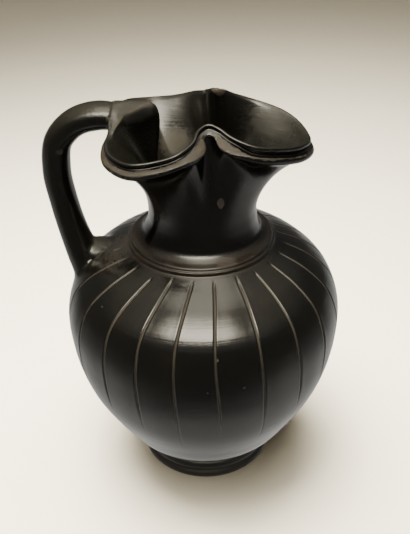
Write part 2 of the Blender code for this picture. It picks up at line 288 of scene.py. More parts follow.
def turnedRound(radius, height, wear=0):
    around = columnDirections(radius, height)
    full = np.ones(columnCount)
    shift = vessel["neckShift"] * smoothStep(height, ringFoot + 4, waist - 2)
    along, aside = shift + radius * np.cos(around), radius * np.sin(around)
    return columns(along, aside, height * full, wear * full)


def lobeStrength(points):
    reach = np.hypot(points[:, 0], points[:, 1])
    return smoothStep(reach, neckRadius - vessel["wall"], lip["lobeReach"])[:, None]


def lipSection(crest):  # each step's distance out, up and wear, from the flare to the crest
    sections = [roundedLine(section, 4, 2) for section in lip["sections"].values()]
    along, aside = lip["pinch"]
    away = np.hypot(crest[:, 0] - along, np.abs(crest[:, 1]) - aside)[:, None]
    blends = lip["blends"]
    towardsSpout = smoothStep(crest[:, :1], *(along + np.array(blends["spout"])))
    shoulder = 1 - smoothStep(away, *blends["shoulder"])
    apex = 1 - smoothStep(away, *blends["apex"])
    underStrap = smoothStep(-crest[:, :1], *blends["strap"])
    underStrap = underStrap * (1 - smoothStep(np.abs(crest[:, 1:2]), *blends["strapSide"]))
    steps = []
    for lobed, *others in zip(*sections):
        section = lobed
        for other, share in zip(others, (towardsSpout, shoulder, apex, underStrap)):
            section = section + (other - section) * share
        steps.append(section)
    return steps


def lumpOn(points):  # raises the rough lump on the far pinch
    centre, size, height = (np.array(part) for part in lip["lump"])
    for i in np.flatnonzero(np.all(np.abs(points[:, :3] - centre) < size, axis=1)):
        nearness = max(0, 1 - np.linalg.norm((points[i, :3] - centre) / size))
        rough = 0.75 + 0.8 * noise.noise(Vector(points[i, :3] * 0.9))
        raised = height * min(1, 1.6 * nearness) * rough
        points[i, 2] += raised
        points[i, 1] -= 0.5 * raised
        points[i, 3] = max(points[i, 3], min(1, 2 * nearness))
    return points


def flareRows(mouth, side, lobe, radius, flare):  # from the neck's waist up to the mouth
    slope = np.hstack([-side, np.full((len(side), 1), -flare["slope"])])
    neck = turnedRound(radius, waist)[:, :3]
    leaving = mouth + lobe * flare["reach"] * slope - (1 - lobe) * flare["drop"] * upright
    steps = np.linspace(0, 1, flare["rows"] + 1)[1:]
    rows = [bezier(neck, neck + flare["rise"] * upright, leaving, mouth, t) for t in steps]
    return [np.pad(row, ((0, 0), (0, 1))) for row in rows]


def movedIn(line, distance):  # to the right of the way the line runs
    ahead = np.gradient(line, axis=0)
    ahead /= np.linalg.norm(ahead, axis=1)[:, None]
    return line + distance * columns(ahead[:, 1], -ahead[:, 0])


def insideLine():  # the body's outer line moved in by the wall, from the neck down to the floor
    inner = movedIn(openLine(list(reversed(vessel["body"])), 60), vessel["wall"])
    inner = inner[inner[:, 1] > vessel["floor"] + vessel["floorRounding"] / 2]
    inner = openLine([(neckRadius - vessel["wall"], waist - 4.5), *inner[3::4]], vessel["insideRows"])
    bottom = (inner[-1][0] - vessel["floorRounding"], vessel["floor"] + 0.6)
    return [*inner, bottom, (bottom[0] * 0.5, vessel["floor"] + 0.1), (0, vessel["floor"])]


def vesselRows():
    outline = [*roundedLine(vessel["underside"], 4, 3), *roundedLine(vessel["foot"], 3, 1)[1:]]
    outline += [*openLine(vessel["body"], vessel["bodyRows"])[1:]]
    outline += [*roundedLine(vessel["ring"], 4, 2)[1:]]
    rows = [turnedRound(*place) for place in outline]
    crest, side = closedLoop(lip["crest"], evenColumns() / (2 * np.pi))
    rise, *reach = lip["farRise"]
    crest[:, 2] += rise * smoothStep(crest[:, 1], *reach)
    lobe = lobeStrength(crest)
    section = lipSection(crest)
    edges = [np.hstack([crest[:, :2] + side * s[:, :1], crest[:, 2:] + s[:, 1:2]]) for s in section]
    rows += flareRows(edges[0], side, lobe, neckRadius, lip["outsideFlare"])
    rows += [np.hstack([edge, s[:, 2:]]) for edge, s in zip(edges[1:], section[1:])]
    rows += flareRows(edges[-1], side, lobe, neckRadius - vessel["wall"], lip["insideFlare"])[-2::-1]
    rows += [turnedRound(*place) for place in insideLine()]
    rows = np.array(rows)
    return lumpOn(rows.reshape(-1, 4)).reshape(rows.shape)


def placed(name, data):  # a new object in the scene
    piece = bpy.data.objects.new(name, data)
    bpy.context.scene.collection.objects.link(piece)
    return piece


def meshFrom(name, points, faces):
    mesh = bpy.data.meshes.new(name)
    mesh.from_pydata((np.asarray(points) * mm).tolist(), [], faces)
    return placed(name, mesh)


def pointsOf(mesh):
    return np.array([vertex.co for vertex in mesh.vertices]) / mm


def closedSkin(name, rows):  # rounds joined by quads, closed to a point at both ends
    count = rows.shape[1]
    points = [rows[0, 0], *rows[1:-1].reshape(-1, rows.shape[2]), rows[-1, 0]]
    last = len(points) - 1
    faces = []
    for k in range(count):
        following = (k + 1) % count
        faces.append((0, 1 + following, 1 + k))
        for row in range(len(rows) - 3):
            low, high = 1 + row * count, 1 + (row + 1) * count
            faces.append((low + k, low + following, high + following, high + k))
        base = 1 + (len(rows) - 3) * count
        faces.append((base + k, base + following, last))
    return meshFrom(name, np.array(points)[:, :3], faces)


vesselGrid = vesselRows()
vesselSkin = closedSkin("vessel skin", vesselGrid)
print("vessel skin:", len(vesselSkin.data.polygons), "faces")


# Node trees, for shapes and for materials

class Signal:
    # Wraps a socket. A sum on signals adds Math nodes, and make() adds any other node.
    def __init__(self, tree, socket):
        self.tree, self.socket = tree, socket

    def make(self, kind, values=None, output=0, **settings):
        node = self.tree.nodes.new(kind)
        for name, value in settings.items():
            setattr(node, name, value)
        for key, value in (values or {}).items():
            if isinstance(value, Signal):
                self.tree.links.new(value.socket, node.inputs[key])
            else:
                node.inputs[key].default_value = value
        return Signal(self.tree, node.outputs[output])

    def other(self, output):
        return Signal(self.tree, self.socket.node.outputs[output])

    def maths(self, operation, *values):
        return self.make("ShaderNodeMath", dict(enumerate(values)), operation=operation)

    def vectors(self, operation, values, output=0):
        return self.make("ShaderNodeVectorMath", values, output, operation=operation)

    def mix(self, first, second):  # two colours, each a signal or plain
        values = {"Factor": self}
        for key, colour in ((6, first), (7, second)):
            values[key] = colour if isinstance(colour, Signal) else (*colour, 1)
        return self.make("ShaderNodeMix", values, 2, data_type="RGBA")

    def __add__(self, value):
        return self.maths("ADD", self, value)

    def __sub__(self, value):
        return self.maths("SUBTRACT", self, value)

    def __rsub__(self, value):
        return self.maths("SUBTRACT", value, self)

    def __mul__(self, value):
        return self.maths("MULTIPLY", self, value)

    def __truediv__(self, value):
        return self.maths("DIVIDE", self, value)

    def __rtruediv__(self, value):
        return self.maths("DIVIDE", value, self)

    __radd__, __rmul__ = __add__, __mul__

    def __pow__(self, value):
        return self.maths("POWER", self, value)

    def most(self, value):
        return self.maths("MAXIMUM", self, value)

    def step(self, low, high):  # 0 at low, 1 at high, smooth between
        values = {"Value": self, "From Min": low, "From Max": high}
        return self.make("ShaderNodeMapRange", values, interpolation_type="SMOOTHSTEP")


def shapeTree(name, inputs):  # a Geometry Nodes tree with these named inputs and their kinds
    tree = bpy.data.node_groups.new(name, "GeometryNodeTree")
    tree.interface.new_socket("Geometry", in_out="INPUT", socket_type="NodeSocketGeometry")
    for label, kind in inputs.items():
        tree.interface.new_socket(label, in_out="INPUT", socket_type="NodeSocket" + kind)
    tree.interface.new_socket("Geometry", in_out="OUTPUT", socket_type="NodeSocketGeometry")
    entry = tree.nodes.new("NodeGroupInput")
    return {socket.name: Signal(tree, socket) for socket in entry.outputs if socket.name}


def closeTree(shape, material):  # every tree ends in Realize Instances and Set Material
    realised = shape.make("GeometryNodeRealizeInstances", {"Geometry": shape})
    dressed = shape.make("GeometryNodeSetMaterial", {"Geometry": realised, "Material": material})
    way = shape.tree.nodes.new("NodeGroupOutput")
    shape.tree.links.new(dressed.socket, way.inputs[0])


def runTree(piece, tree, settings):  # leaves the tree's result as a plain mesh
    modifier = piece.modifiers.new(tree.name, "NODES")
    modifier.node_group = tree
    for socket in tree.interface.items_tree:
        if socket.in_out == "INPUT" and socket.name in settings:
            modifier[socket.identifier] = settings[socket.name]
    return bakeModifiers(piece)


def bakeModifiers(piece):
    graph = bpy.context.evaluated_depsgraph_get()
    mesh = bpy.data.meshes.new_from_object(piece.evaluated_get(graph))
    piece.modifiers.clear()
    if piece.type == "MESH":
        piece.data = mesh
        return piece
    made = placed(piece.name, mesh)
    bpy.data.objects.remove(piece)
    return made


def pathObject(name, lines):  # each line holds points of x, y, z and a radius
    curve = bpy.data.curves.new(name, "CURVE")
    curve.dimensions = "3D"
    for line in lines:
        spline = curve.splines.new("POLY")
        spline.points.add(len(line) - 1)
        for point, (x, y, z, radius) in zip(spline.points, line):
            point.co = (x * mm, y * mm, z * mm, 1)
            point.radius = radius
    return placed(name, curve)


# The handle: an oval strap swept along its line, which ends over the mouth as a tongue

def strapTree():
    inputs = {"Stations": "Int", "Sides": "Int", "Thickness": "Float", "Width": "Float"}
    entry = shapeTree("handle strap", {**inputs, "Material": "Material"})
    path = entry["Geometry"]
    values = {"Curve": path, "Count": entry["Stations"]}
    path = path.make("GeometryNodeResampleCurve", values, mode="COUNT")
    values = {"Resolution": entry["Sides"], "Radius": entry["Thickness"] * 0.5}
    profile = path.make("GeometryNodeCurvePrimitiveCircle", values, mode="RADIUS")
    size = path.make("GeometryNodeInputRadius")
    values = {"Curve": path, "Profile Curve": profile, "Scale": size, "Fill Caps": True}
    strap = path.make("GeometryNodeCurveToMesh", values)
    wider = entry["Width"] / entry["Thickness"]
    stretch = path.make("ShaderNodeCombineXYZ", {0: 1, 1: wider, 2: 1})
    strap = path.make("GeometryNodeTransform", {"Geometry": strap, "Scale": stretch})
    closeTree(strap, entry["Material"])
    return strap.tree


def wallLine():  # the mouth's inner wall behind the neck's axis: height, distance, from low to high
    column = vesselGrid[:, np.argmin(np.abs(evenColumns() - math.pi)), :3]
    inner = column[np.argmax(column[:, 2]):]
    inner = inner[inner[:, 2] > tongue["bottom"] - 2][::-1]
    return inner[:, 2], -inner[:, 0]


def acrossFlank(share, height):  # distance aside of the hollow flank
    reach = valueAt(tongue["reach"], height)
    nose = tongue["edgeThickness"] * math.sqrt(min(1, 12 * share))
    return nose + (reach - nose) * quarterRound(share)


def quarterRound(share):  # 0 at 0, 1 at 1, on a quarter of a circle
    return 1 - math.sqrt(max(0, 1 - share**2))


def smoothThrough(pairs, at):  # one value of a smooth line through these pairs
    knots = np.array(pairs)
    return float(curveThrough(knots[:, 0], knots[:, 1:], [at])[0, 0])


def frontAndWall(height):  # where the tongue starts and where it meets the mouth's wall
    low, high = tongue["front"][0][0], tongue["front"][-1][0]
    front = smoothThrough(tongue["front"], min(max(height, low), high))
    return front, np.interp(height, *wallLine()) + tongue["buried"]


def tongueSide(behind, rear):  # half of an upright section, from its top's middle to its foot
    edge = max(0, smoothThrough(tongue["edge"], behind))
    edgeHeight = smoothThrough(tongue["top"], edge)
    front, wall = frontAndWall(edgeHeight)
    share = min(1, max(0, (behind - front) / (wall - front)))
    backEnd, halfWidth, under, drop = tongue["rear"]
    turn = smoothStep(rear, 0, 1)
    narrow = quarterRound(rear / tongue["rearRounding"])
    aside = edge + (halfWidth - edge) * narrow
    behind += (backEnd - behind) * rear
    points = [(behind, across, smoothThrough(tongue["top"], across) - drop * turn)
              for across in np.linspace(0, 1, tongue["topSteps"] + 1) * aside]
    top, low = points[-1][2], tongue["wallBottom"] + (under - tongue["wallBottom"]) * turn
    sideSteps = tongue["sideSteps"]
    heights = np.linspace(top, low, sideSteps + 1)[1:]
    heights = [*heights, *np.linspace(tongue["wallBottom"], tongue["bottom"], tongue["lowSteps"] + 1)[1:]]
    for i, height in enumerate(heights):
        front, wall = frontAndWall(height)
        place = front + share * (wall - front)
        full = acrossFlank(share, height)
        nearTop = 1 - smoothStep(edgeHeight - height, 0, tongue["underTop"])
        full += (edge - acrossFlank(share, edgeHeight)) * nearTop
        if i < sideSteps:
            place += (behind - place) * smoothStep(rear, 0, 0.2)
            full += (aside * (1 - 0.4 * (i + 1) / sideSteps) - full) * narrow
        else:
            place, full = place + 1.2 * rear, full * (1 - 0.3 * rear)
        points.append((place, full, height))
    return np.array(points) * (-1, 1, 1)


def tonguePiece():  # upright sections from the front edge to the wall, and on into the strap
    first, last = tongue["edge"][0][0], tongue["edge"][-1][0]
    places = first + (last - first) * np.linspace(0, 1, tongue["rings"]) ** tongue["frontCrowding"]
    sides = [tongueSide(place, 0) for place in places]
    sides += [tongueSide(last, rear) for rear in np.linspace(0, 1, tongue["rearRings"] + 1)[1:]]
    rings = np.array([np.vstack([side, side[:0:-1] * (1, -1, 1)]) for side in sides])
    count = rings.shape[1]
    faces = [tuple(range(count)), tuple(range(len(rings) * count - 1, (len(rings) - 1) * count - 1, -1))]
    for low in range(0, (len(rings) - 1) * count, count):
        for k in range(count):
            following = (k + 1) % count
            faces.append((low + following, low + k, low + count + k, low + count + following))
    piece = meshFrom("tongue", rings.reshape(-1, 3), faces)
    weld(piece, tongue["weld"])
    end = last - tongue["edgeEnd"]
    edge = np.array([side[tongue["topSteps"]] for side, place in zip(sides, places) if place < end])
    return piece, np.vstack([edge, edge * (1, -1, 1)])


def handlePiece():
    line = openLine(handle["line"], handle["stations"])
    path = pathObject("handle path", [[(-behind, 0, height, size) for behind, height, size in line]])
    settings = {"Stations": handle["stations"], "Sides": handle["sides"],
                "Thickness": handle["thickness"] * mm, "Width": handle["width"] * mm}
    strap = runTree(path, strapTree(), settings)
    weld(strap, handle["weld"])
    return strap


def weld(piece, distance):
    tidy = bmesh.new()
    tidy.from_mesh(piece.data)
    bmesh.ops.remove_doubles(tidy, verts=tidy.verts, dist=distance * mm)
    bmesh.ops.recalc_face_normals(tidy, faces=tidy.faces)
    tidy.to_mesh(piece.data)
    tidy.free()


strapPiece = handlePiece()
print("handle strap:", len(strapPiece.data.polygons), "faces")
tongueSolid, tongueEdge = tonguePiece()
print("tongue:", len(tongueSolid.data.polygons), "faces")


# One fired piece: the strap joins the vessel, and the joints are smoothed as wet clay is

joint = {
    "coreStations": 40, "coreSides": 96,
    "reach": 5, "longestEdge": 1.1, "weld": 0.05, "rounds": 2,
    "passes": 26, "pull": 0.6,
    "sharpShare": 0.25,  # inside this share of the fillet the pull is full
    "rootFillet": 7, "rimFillet": 1.3,
    # Fillet against height where the tongue leaves the mouth's wall, in front of "insideFrom"
    "insideFillet": [(120, 1.2), (138, 1.6), (146, 3.2), (152, 4)],
    "insideFrom": (-31.5, -29.5), "insideTop": 152.5,
}


def coreOfWall():  # the inside of the body, half-way through its wall
    middle = movedIn(openLine(vessel["body"], joint["coreStations"]), -vessel["wall"] / 2)
    line = [(0, middle[0][1]), *middle, (0, middle[-1][1])]
    around = np.linspace(0, 2 * np.pi, joint["coreSides"], endpoint=False)
    full = np.ones(joint["coreSides"])
    rows = [columns(r * np.cos(around), r * np.sin(around), z * full) for r, z in line]
    return closedSkin("wall core", np.array(rows))


def joined(piece, operation, other):
    modifier = piece.modifiers.new(operation, "BOOLEAN")
    modifier.operation, modifier.solver, modifier.object = operation, "MANIFOLD", other
    return bakeModifiers(piece)


def rootClay():
    place, size = handle["rootClay"]
    piece = meshFrom("root clay", [], [])
    shape = Matrix.LocRotScale(Vector(place) * mm, None, Vector(size))
    pad = bmesh.new()
    bmesh.ops.create_icosphere(pad, subdivisions=4, radius=mm, matrix=shape)
    pad.to_mesh(piece.data)
    pad.free()
    return piece


core = coreOfWall()
rootPad = rootClay()
joined(strapPiece, "UNION", rootPad)
joined(strapPiece, "DIFFERENCE", core)
joined(strapPiece, "UNION", tongueSolid)
skinTree, strapSurface = (
    BVHTree.FromObject(piece, bpy.context.evaluated_depsgraph_get()) for piece in (vesselSkin, strapPiece))
joined(vesselSkin, "UNION", strapPiece)
print("joined:", len(vesselSkin.data.vertices), "points")


def nearJoint(points, margin):  # distance to the further of the two joined surfaces
    corners = np.array([*strapPiece.bound_box]) / mm
    low, high = corners.min(axis=0) - margin, corners.max(axis=0) + margin
    away = np.full(len(points), 1000.0)
    for i in np.flatnonzero(np.all((points > low) & (points < high), axis=1)):
        place = Vector(points[i] * mm)
        away[i] = max(skinTree.find_nearest(place)[3], strapSurface.find_nearest(place)[3]) / mm
    return away


def dropCrumbs(sewn):  # tiny closed bits that the union left
    left = set(sewn.verts)
    shells = []
    while left:
        front = [left.pop()]
        shell = list(front)
        while front:
            around = {edge.other_vert(vertex) for vertex in front for edge in vertex.link_edges} & left
            left -= around
            front = list(around)
            shell += front
        shells.append(shell)
    for shell in sorted(shells, key=len)[:-1]:
        bmesh.ops.delete(sewn, geom=shell, context="VERTS")


def refineJoint(piece):  # even triangles round the joint, to be smoothed
    sewn = bmesh.new()
    sewn.from_mesh(piece.data)

    def near():
        away = nearJoint(np.array([vertex.co for vertex in sewn.verts]) / mm, joint["reach"])
        return [vertex for vertex, distance in zip(sewn.verts, away) if distance < joint["reach"]]

    def splitToTriangles(points):
        faces = {face for vertex in points for face in vertex.link_faces if len(face.verts) > 3}
        bmesh.ops.poke(sewn, faces=[face for face in faces if len(face.verts) > 4])
        for face in [face for face in faces if face.is_valid and len(face.verts) == 4]:
            a, b, c, d = face.verts
            ways = sorted(((a, c), (b, d)), key=lambda way: (way[0].co - way[1].co).length)
            free = [way for way in ways if sewn.edges.get(way) is None]
            if free:
                bmesh.utils.face_split(face, *free[0])

    bmesh.ops.remove_doubles(sewn, verts=near(), dist=joint["weld"] * mm)
    splitToTriangles(near())
    longest = joint["longestEdge"] * mm
    for turn in range(joint["rounds"]):
        edges = {edge for vertex in near() for edge in vertex.link_edges if edge.calc_length() > longest}
        bmesh.ops.subdivide_edges(sewn, edges=list(edges), cuts=1)
        splitToTriangles(near())
    bmesh.ops.delete(sewn, geom=[edge for edge in sewn.edges if not edge.link_faces], context="EDGES")
    dropCrumbs(sewn)
    sewn.to_mesh(piece.data)
    sewn.free()


def settleJoint(piece):  # points near it move towards the middle of their neighbours
    points = pointsOf(piece.data)
    ends = np.array([edge.vertices for edge in piece.data.edges])
    away = nearJoint(points, joint["rootFillet"])
    inside = smoothStep(points[:, 0], *joint["insideFrom"]) * (points[:, 2] < joint["insideTop"])
    insideFillet = valueAt(joint["insideFillet"], points[:, 2])
    fillet = joint["rimFillet"] + (insideFillet - joint["rimFillet"]) * inside
    fillet = np.where(points[:, 2] < (waist + ringFoot) / 2, joint["rootFillet"], fillet)
    weight = joint["pull"] * (1 - smoothStep(away, joint["sharpShare"] * fillet, fillet))
    moving = (weight[ends] > 0).any(axis=1)
    ends = ends[moving]
    counts = np.maximum(np.bincount(ends.reshape(-1), minlength=len(points)), 1)
    for turn in range(joint["passes"]):
        sums = [np.bincount(ends[:, 0], points[ends[:, 1], k], len(points))
                + np.bincount(ends[:, 1], points[ends[:, 0], k], len(points)) for k in range(3)]
        middle = columns(*sums) / counts[:, None]
        points += (middle - points) * weight[:, None]
    piece.data.vertices.foreach_set("co", (points * mm).astype(np.float32).reshape(-1))
    piece.data.update()


refineJoint(vesselSkin)
settleJoint(vesselSkin)
print("joint smoothed:", len(vesselSkin.data.vertices), "points")


# The upright grooves, cut by a tree that sinks the skin along lines on the body

def groovePaths():
    profile = openLine(vessel["body"], 400)
    lines = []
    for i, groove in enumerate(grooves["lines"]):
        low, high = groove[3:]
        line = []
        for height in np.arange(low, high, grooves["step"]):
            around = grooveDirection(height)[i]
            radius = np.interp(height, profile[:, 1], profile[:, 0])
            cut = valueAt(grooves["strength"], height)
            fading = smoothStep(height, low, low + grooves["fade"])
            cut *= fading * smoothStep(high - height, 0, grooves["topFade"])
            line.append((radius * math.cos(around), radius * math.sin(around), height, cut))
        lines.append(line)
    return pathObject("groove paths", lines)


def grooveTree():
    inputs = {"Groove Paths": "Object", "Handle": "Object", "Width": "Float", "Depth": "Float",
              "Clear Of Handle": "Float", "Material": "Material"}
    entry = shapeTree("incised grooves", inputs)
    skin = entry["Geometry"]
    paths = skin.make("GeometryNodeObjectInfo", {"Object": entry["Groove Paths"]}, "Geometry")
    strength = skin.make("GeometryNodeInputRadius")
    perPoint = {"data_type": "FLOAT", "domain": "POINT"}
    values = {"Geometry": paths, "Name": "cut", "Value": strength}
    paths = skin.make("GeometryNodeStoreNamedAttribute", values, **perPoint)
    wires = skin.make("GeometryNodeCurveToMesh", {"Curve": paths})
    away = skin.make("GeometryNodeProximity", {"Target": wires}, "Distance", target_element="EDGES")
    nearest = skin.make("GeometryNodeSampleNearest", {"Geometry": wires}, domain="POINT")
    cut = skin.make("GeometryNodeInputNamedAttribute", {"Name": "cut"}, data_type="FLOAT")
    values = {"Geometry": wires, "Value": cut, "Index": nearest}
    cut = skin.make("GeometryNodeSampleIndex", values, **perPoint)
    strap = skin.make("GeometryNodeObjectInfo", {"Object": entry["Handle"]}, "Geometry")
    strapAway = skin.make("GeometryNodeProximity", {"Target": strap}, "Distance", target_element="FACES")
    margin = entry["Clear Of Handle"]
    cut = cut * strapAway.step(margin, margin * 2.5)
    share = away / (entry["Width"] * 0.5 * (0.35 + cut * 0.65))
    sunk = share.step(1.15, 0) * cut
    lipped = share.step(0.9, 1.3) * share.step(2, 1.3) * cut
    depth = (sunk - lipped * 0.07) * entry["Depth"] * -1
    normal = skin.make("GeometryNodeInputNormal")
    offset = skin.vectors("SCALE", {"Vector": normal, "Scale": depth})
    values = {"Geometry": skin, "Name": "groove", "Value": share.step(1, 0.45) * cut}
    skin = skin.make("GeometryNodeStoreNamedAttribute", values, **perPoint)
    skin = skin.make("GeometryNodeSetPosition", {"Geometry": skin, "Offset": offset})
    closeTree(skin, entry["Material"])
    return skin.tree


# The glaze: glossy black slip, rubbed through to the clay on edges, with dust in the grooves

glaze = {
    "black": (0.002, 0.0019, 0.0015),
    "brownBlack": (0.006, 0.0045, 0.0028),
    "foot": (0.008, 0.005, 0.0026),
    "ring": (0.0058, 0.0037, 0.002),
    "clay": (0.0115, 0.0084, 0.0042),
    "paleClay": (0.03, 0.024, 0.014),
    "darkClay": (0.0048, 0.0034, 0.0019),
    "redDirt": (0.011, 0.0055, 0.0028),
    "dust": (0.0145, 0.012, 0.0074),
    "deposit": (0.022, 0.0185, 0.011),
    "film": (0.0075, 0.0072, 0.005),
    # Painted sheen: this greyish colour on the shoulder beside the handle stands in for the pale wall's
    # reflection
    "shoulderSheen": (0.014, 0.0125, 0.0104),
    "rootDirt": (0.0042, 0.004, 0.0027),
    "insideFilm": (0.0048, 0.0046, 0.0036),
    "strapFilm": (0.0036, 0.0034, 0.0021),
    "ior": 1.55, "gloss": 0.135, "dullest": 0.7,
}

# Marks on the surface: place, size (local x, y, z)
marks = {
    "neckChip": ((8.9, -18.2, 129.8), (1.35, 2, 2.1)),
    "backDeposit": ((-10.5, 17.8, 136), (8.5, 8, 8.5)),
    "spoutFilm": ((25, 12.5, 146.5), (13, 11, 7.5)),
    "spoutScuff": ((22.5, 15.8, 148.6), (3.2, 4, 1.6)),
    "lowerScuff": ((27.5, 11, 145.6), (5, 4, 1.3)),
    "ringRub": ((10.5, -23.2, 108.1), (5, 4, 1.6)),
    "strapCrease": ((-31.4, -8, 154.6), (1, 3.6, 3.4)),
    # Where the painted sheen goes: the shoulder beside the handle, where the pale wall's reflection falls
    "shoulderSheen": ((-27, -6, 101), (19, 16, 9)),
    "handleRub": ((-50, -5.5, 142), (2, 2.6, 1.5)),
    "rootDirt": ((-41, 0, 98.5), (8, 9.5, 7.5)),
    "tongueTop": ((-22, -4, 157), (9, 9, 5)),
}

# Small chips in the glaze: place and size
chips = [((9.3, -50.5, 85.9), 0.8), ((18.8, -51, 73.9), 0.65), ((6.2, -53.9, 73.5), 0.5),
         ((-33.6, -31.9, 93), 0.6), ((-14, -50.2, 66), 0.4), ((31, -43, 62), 0.45),
         ((-6, -47.4, 90.5), 0.4), ((15, -19.4, 121), 0.45)]


def newMaterial(name):
    material = bpy.data.materials.new(name)
    material.use_nodes = True
    return material, material.node_tree.nodes["Principled BSDF"]


def glazeMaterial():
    material, shader = newMaterial("black glaze, worn")
    tree = material.node_tree
    start = Signal(tree, shader.outputs[0])
    place = start.make("ShaderNodeTexCoord", output="Object")
    facingUp = start.make("ShaderNodeSeparateXYZ", {0: place.other("Normal")}, "Z")
    place = start.vectors("SCALE", {"Vector": place, "Scale": 1 / mm})
    height = start.make("ShaderNodeSeparateXYZ", {"Vector": place}, "Z")

    def cloud(scale, detail=3, roughness=0.55, vector=None):
        values = {"Vector": vector or place, "Scale": scale, "Detail": detail, "Roughness": roughness}
        return start.make("ShaderNodeTexNoise", values, "Fac")

    def attribute(name):
        return start.make("ShaderNodeAttribute", output="Fac", attribute_name=name)

    def mixed(share, *colours):  # the glaze's colours are given by name
        return share.mix(*(glaze.get(colour, colour) for colour in colours))

    def nearness(centre, size):  # 1 in the middle of a mark, 0 at its edge, less beyond
        middle = (centre[0] + axisX, centre[1], centre[2])
        offset = start.vectors("SUBTRACT", {0: place, 1: middle})
        scaled = start.vectors("DIVIDE", {0: offset, 1: size})
        return 1 - start.vectors("LENGTH", {0: scaled}, "Value")

    def mark(name, ragged, low, high):
        return (nearness(*marks[name]) + (fine - 0.5) * ragged).step(low, high)

    groove, wear, strap, inside = (attribute(name) for name in ("groove", "wear", "strap", "inside"))
    coarse, fine, grain = cloud(0.055), cloud(0.45, 4, 0.65), cloud(2.2, 3, 0.6)
    level = start.make("ShaderNodeCombineXYZ", {0: coarse * 1.5, 1: 0, 2: height + fine * 0.5})
    throwing = cloud(1.1, 3, 0.6, level)
    along = start.vectors("MULTIPLY", {0: place, 1: (0.3, 0.3, 1.6)})
    streaks = cloud(1.3, 4, 0.7, along)

    rubbed = (wear + (fine - 0.5) * 0.8 + (coarse - 0.5) * 0.7 + (streaks - 0.5) * 0.9).step(0.5, 0.88)
    dirty = (wear * -1 + (fine - 0.5) * 0.4).step(0.1, 0.5)
    dusty = groove * (fine + (coarse - 0.5) * 0.6).step(0.12, 0.42) * height.step(42, 60)
    chip = mark("neckChip", 1.1, 0, 0.3)
    for centre, size in chips:
        chip = chip.most((nearness(centre, (size, size, size * 0.8)) + (grain - 0.5) * 0.8).step(0, 0.3))
    rubs = mark("ringRub", 1.5, 0, 0.6) * wear.step(0.1, 0.4)
    for name in ("strapCrease", "handleRub"):
        rubs = rubs.most(mark(name, 1.6, 0.15, 0.75))
    deposit = mark("backDeposit", 0.9, 0, 1.1) * inside * (0.25 + grain * 1.3)
    film = mark("spoutFilm", 1.2, -0.2, 1) * inside * (0.25 + throwing * 1.1)
    # Painted sheen on the shoulder beside the handle: a greyish colour in place of the pale wall's
    # reflection
    shoulderSheen = mark("shoulderSheen", 0.8, 0, 0.8) * (0.4 + throwing * 0.9) * (1 - strap)
    ring = height.step(103.9, 105) * (height + fine * 3).step(112.2, 109.4)
    ring = ring * (0.5 + fine * 0.8) * (1 - strap)
    rootDirt = mark("rootDirt", 1.2, 0, 1) * (0.2 + fine * 1.1)
    tongueTop = mark("tongueTop", 0.6, 0, 0.5) * strap
    scuffs = (mark("spoutScuff", 2, 0.2, 0.7) + mark("lowerScuff", 2.2, 0.3, 0.8)) * inside
    strapFilm = strap * (0.3 + facingUp.step(0.1, 0.8) * 0.7) * (0.4 + fine * 1.1)
    footDull = height.step(10.5, 7)

    base = mixed(coarse.step(0.5, 0.8) * 0.5, "black", "brownBlack")
    clay = mixed(streaks.step(0.4, 0.58), "darkClay", "clay")
    clay = mixed(fine.step(0.58, 0.75) * 0.6, clay, "paleClay")
    rubDirt = mixed(fine.step(0.35, 0.6), "redDirt", "clay")
    grooveDust = mixed(grain.step(0.4, 0.7), "dust", "clay")
    chipped = mixed(fine.step(0.4, 0.62), "ring", "clay")
    layers = [(inside * (0.2 + fine), "insideFilm"), (footDull, "foot"), (ring, "ring"),
              (shoulderSheen, "shoulderSheen"), (strapFilm, "strapFilm"), (rootDirt, "rootDirt"),
              (film, "film"), (deposit, "deposit"), (dirty * 0.8, "redDirt"), (rubbed * 0.9, clay),
              (scuffs * 0.5, "clay"), (rubs, rubDirt), (dusty * 0.9, grooveDust), (chip, chipped)]
    for share, over in layers:
        base = mixed(share, base, over)
    dull = rubbed + dirty * 0.7 + dusty + chip + deposit + film * 0.5 + scuffs * 0.5 + rubs
    dull = dull + strapFilm * 0.2
    dull = dull + footDull * 0.6 + ring * 0.5 + shoulderSheen * 0.5 + rootDirt * 0.6 + tongueTop * 0.7
    dull = dull.maths("MINIMUM", dull, 1)
    rough = glaze["gloss"] + (coarse - 0.5) * 0.05 + (grain - 0.5) * 0.05
    rough = rough + (throwing - 0.5) * 0.16 + inside * 0.1
    rough = rough + dull * (glaze["dullest"] - glaze["gloss"])

    relief = throwing * 0.045 + grain * 0.02 + cloud(0.22, 2) * 0.05 - (rubbed + chip * 3) * 0.03
    relief = relief + strapFilm * fine * 0.12
    bump = start.make("ShaderNodeBump", {"Strength": 1, "Distance": mm, "Height": relief}, "Normal")
    for socket, value in (("Base Color", base), ("Roughness", rough), ("Normal", bump)):
        tree.links.new(value.socket, shader.inputs[socket])
    shader.inputs["IOR"].default_value = glaze["ior"]
    return material


def nearestOf(places, points):  # each point's nearest place, and how far it is
    tree = KDTree(len(places))
    for i, place in enumerate(places):
        tree.insert(place, i)
    tree.balance()
    found = [tree.find(point) for point in points]
    return [hit[1] for hit in found], np.array([hit[2] for hit in found])


